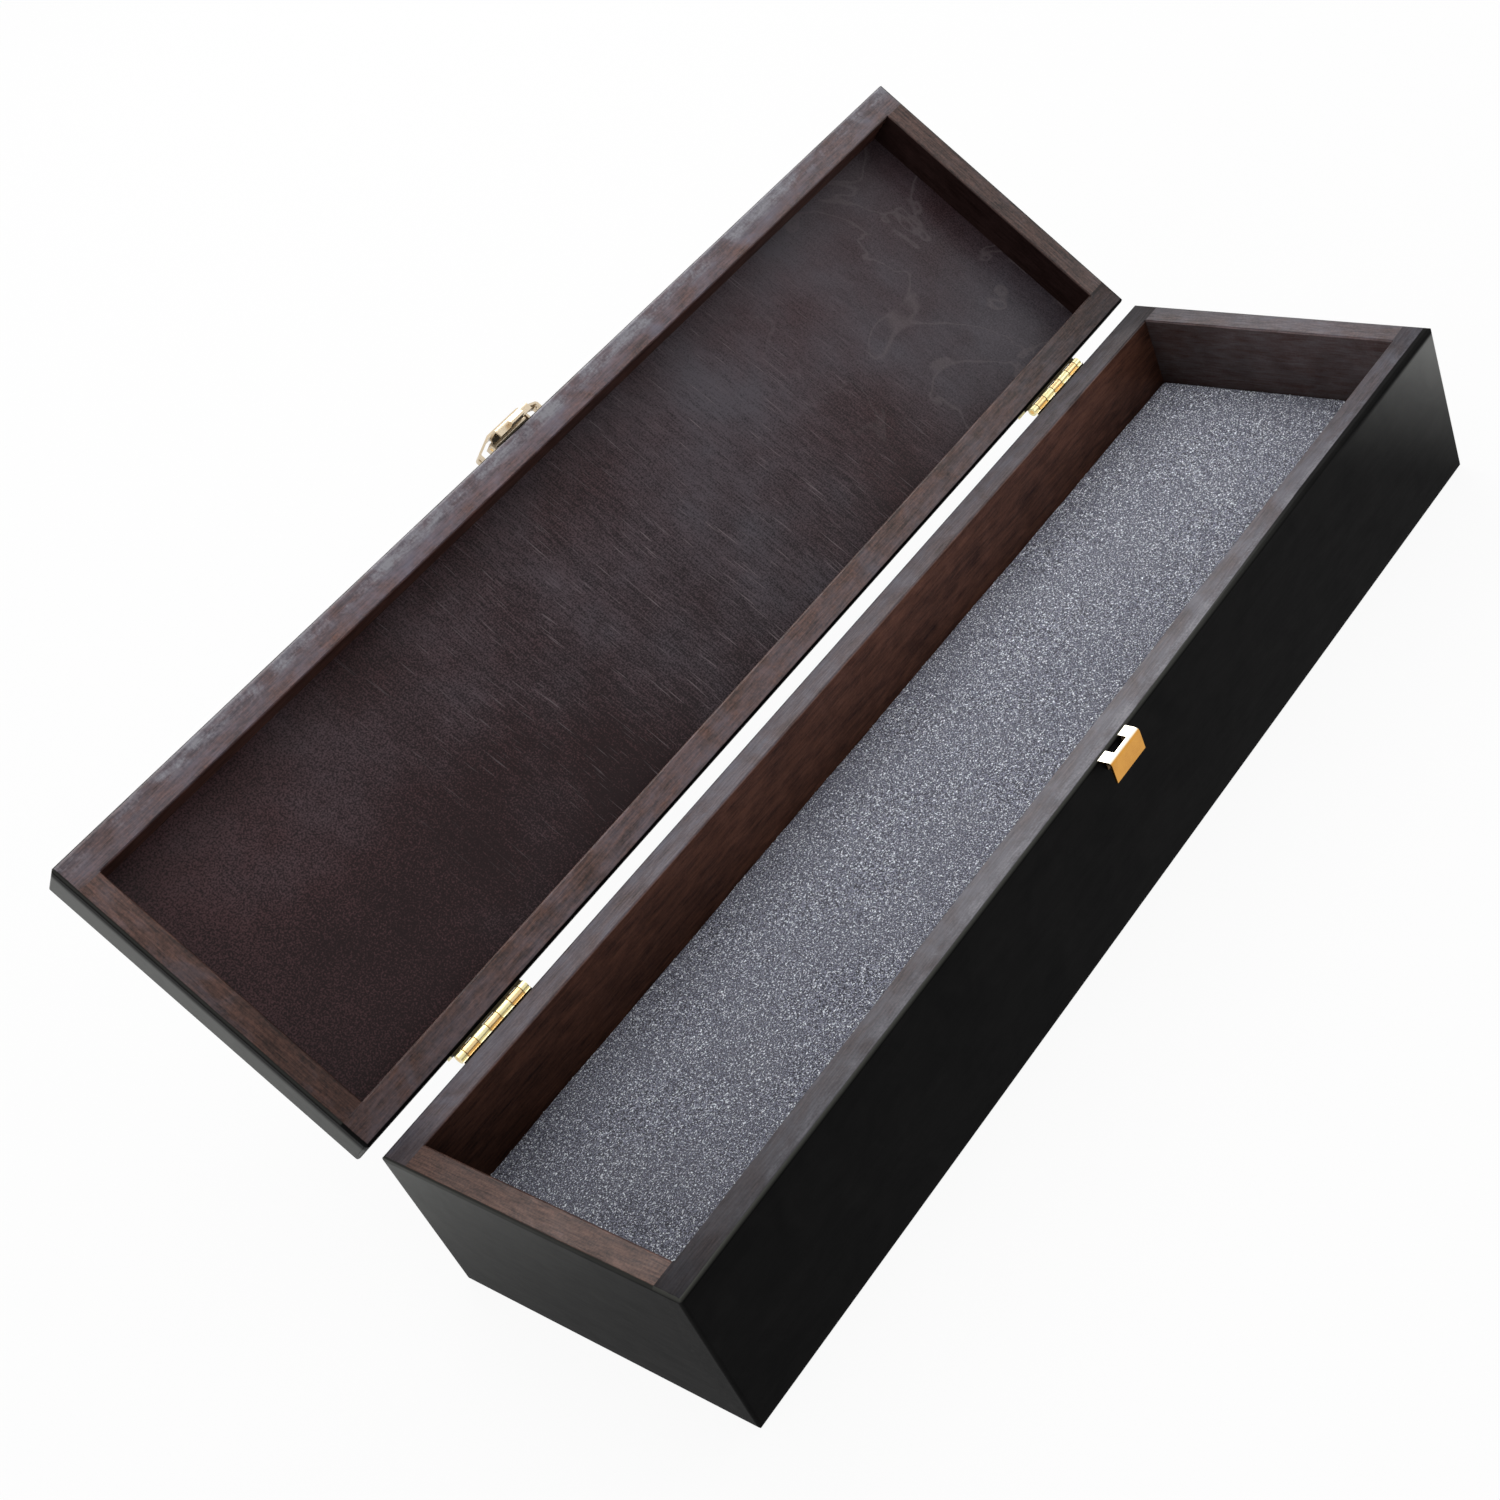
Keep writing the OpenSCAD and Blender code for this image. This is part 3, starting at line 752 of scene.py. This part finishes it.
# %% Foam finish
CELL_MOUTH = (0.034, 0.034, 0.044)
CELL_WALL = (0.285, 0.298, 0.385)
CELL_DUST = (0.15, 0.15, 0.175)
CELL_GLINT = (0.90, 0.95, 1.0)


def foam_finish(name):
    recipe = new_recipe(name)
    here = recipe.place()
    x, y, z = recipe.split(here)
    cells = recipe.noise(here, 2300.0, 1, 0.5)
    # Painted highlights: white glints, more of them towards the back and the right.
    glints = recipe.noise(here, 2000.0, 1, 0.5, 0.6) + x * 0.05 + y * 0.16
    cloud = recipe.noise(here, 45.0, 3, 0.5)
    speck = cells.step(0.41, 0.70)
    colour = recipe.blend(speck, CELL_MOUTH, CELL_WALL)
    colour = recipe.blend(cloud.step(0.3, 0.8) * 0.25, colour, CELL_DUST)
    colour = recipe.blend(glints.step(0.61, 0.66), colour, CELL_GLINT)
    # Painted light and shade: darker towards the left end, and on the right half lighter
    # towards the back.
    tone = x.least(0.0) * 1.5 + (x * 16).step(0.0, 1.0) * y * 3.2 + 1.05
    return recipe.finish({
        "Base Color": recipe.scaled(colour, tone), "Roughness": 0.85 - speck * 0.2,
        "Normal": recipe.relief(cells, 0.3 * MM, 0.6), "Specular IOR Level": 0.3})


foam_pad.data.materials.append(foam_finish("grey open cell foam"))
print("foam finish:", foam_pad.data.materials[0].name)

# %% [markdown]
# The torn skins are real little facets, thousands of them, so Geometry Nodes scatter them:
# points on the foam's top, one tiny facet on each, turned and sized at random from a fixed
# seed. The density, the size and the seed are inputs of the tree, where they are easy to
# change.

# %% Geometry Nodes tree that scatters the cell skins
SKIN_INPUTS = {"Skins per square metre": 420000.0, "Skin size": 0.55 * MM, "Seed": 7}
scatter = bpy.data.node_groups.new("scatter cell skins", "GeometryNodeTree")
scatter.interface.new_socket("Geometry", in_out="INPUT", socket_type="NodeSocketGeometry")
for label, kind in (("Skins per square metre", "NodeSocketFloat"),
                    ("Skin size", "NodeSocketFloat"), ("Seed", "NodeSocketInt"),
                    ("Finish", "NodeSocketMaterial")):
    scatter.interface.new_socket(label, in_out="INPUT", socket_type=kind)
scatter.interface.new_socket("Geometry", in_out="OUTPUT", socket_type="NodeSocketGeometry")


def step_node(kind, sockets=None, **settings):
    node = scatter.nodes.new(kind)
    for key, value in settings.items():
        setattr(node, key, value)
    for key, value in (sockets or {}).items():
        if hasattr(value, "links"):
            scatter.links.new(value, node.inputs[key])
        else:
            node.inputs[key].default_value = value
    return node


given = step_node("NodeGroupInput").outputs
facing = step_node("GeometryNodeInputNormal").outputs[0]
upward = step_node("ShaderNodeSeparateXYZ", {0: facing}).outputs["Z"]
is_top = step_node("FunctionNodeCompare", {0: upward, 1: 0.7}, operation="GREATER_THAN")
points = step_node("GeometryNodeDistributePointsOnFaces", {
    "Mesh": given["Geometry"], "Selection": is_top.outputs[0],
    "Density": given["Skins per square metre"], "Seed": given["Seed"]})
facet = step_node("GeometryNodeMeshCircle", {
    "Vertices": 4, "Radius": given["Skin size"]}, fill_type="NGON")
tilt = step_node("FunctionNodeRandomValue", {
    "Min": (-0.9, -0.9, 0.0), "Max": (0.9, 0.9, 6.28), "Seed": given["Seed"]},
    data_type="FLOAT_VECTOR")
size = step_node("FunctionNodeRandomValue", {"Min": (0.25, 0.2, 1.0), "Max": (0.62, 0.5, 1.0),
                                             "Seed": given["Seed"]}, data_type="FLOAT_VECTOR")
placed = step_node("GeometryNodeInstanceOnPoints", {
    "Points": points.outputs["Points"], "Instance": facet.outputs["Mesh"],
    "Rotation": tilt.outputs[0], "Scale": size.outputs[0]})
real = step_node("GeometryNodeRealizeInstances", {0: placed.outputs[0]})
coated = step_node("GeometryNodeSetMaterial", {"Geometry": real.outputs[0],
                                               "Material": given["Finish"]})
step_node("NodeGroupOutput", {0: coated.outputs[0]})
print("scatter tree:", len(scatter.nodes), "nodes")

# %% [markdown]
# The tree runs as a modifier on a second copy of the slab. Its result is then kept as a
# plain mesh, since an export drops instances, and a half metallic finish lets the skins
# flash where they face a lamp.

# %% Scatter them and keep the plain mesh
SKIN_GREY, SKIN_WHITE = (0.50, 0.51, 0.58), (0.86, 0.88, 0.95)
skin_recipe = new_recipe("torn foam cell skin")
sheen = skin_recipe.noise(skin_recipe.place(), 900.0, 1, 0.5)
skin_colour = skin_recipe.blend(sheen.step(0.35, 0.65), SKIN_GREY, SKIN_WHITE)
SKIN_INPUTS["Finish"] = skin_recipe.finish({
    "Base Color": skin_colour, "Metallic": 0.5, "Roughness": 0.25 + sheen * 0.2})

foam_skins = bpy.data.objects.new("foam_cell_skins", foam_mesh())
bpy.context.scene.collection.objects.link(foam_skins)
maker = foam_skins.modifiers.new("scatter", "NODES")
maker.node_group = scatter
for item in scatter.interface.items_tree:
    if item.in_out == "INPUT" and item.name in SKIN_INPUTS:
        maker[item.identifier] = SKIN_INPUTS[item.name]
bpy.context.view_layer.update()
shown = foam_skins.evaluated_get(bpy.context.evaluated_depsgraph_get())
plain = bpy.data.meshes.new_from_object(shown)
foam_skins.modifiers.remove(maker)
foam_skins.data = plain
print("cell skins:", len(plain.polygons))

# %% [markdown]
# The new pieces are tied to the CAD model: they ride on the base, and the slab stands for
# the CAD foam, which is hidden.

# %% Tie the foam to the base
for piece in (foam_pad, foam_skins):
    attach(piece, "base")
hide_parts("foam_insert")
print("foam pieces:", foam_pad.name, foam_skins.name)
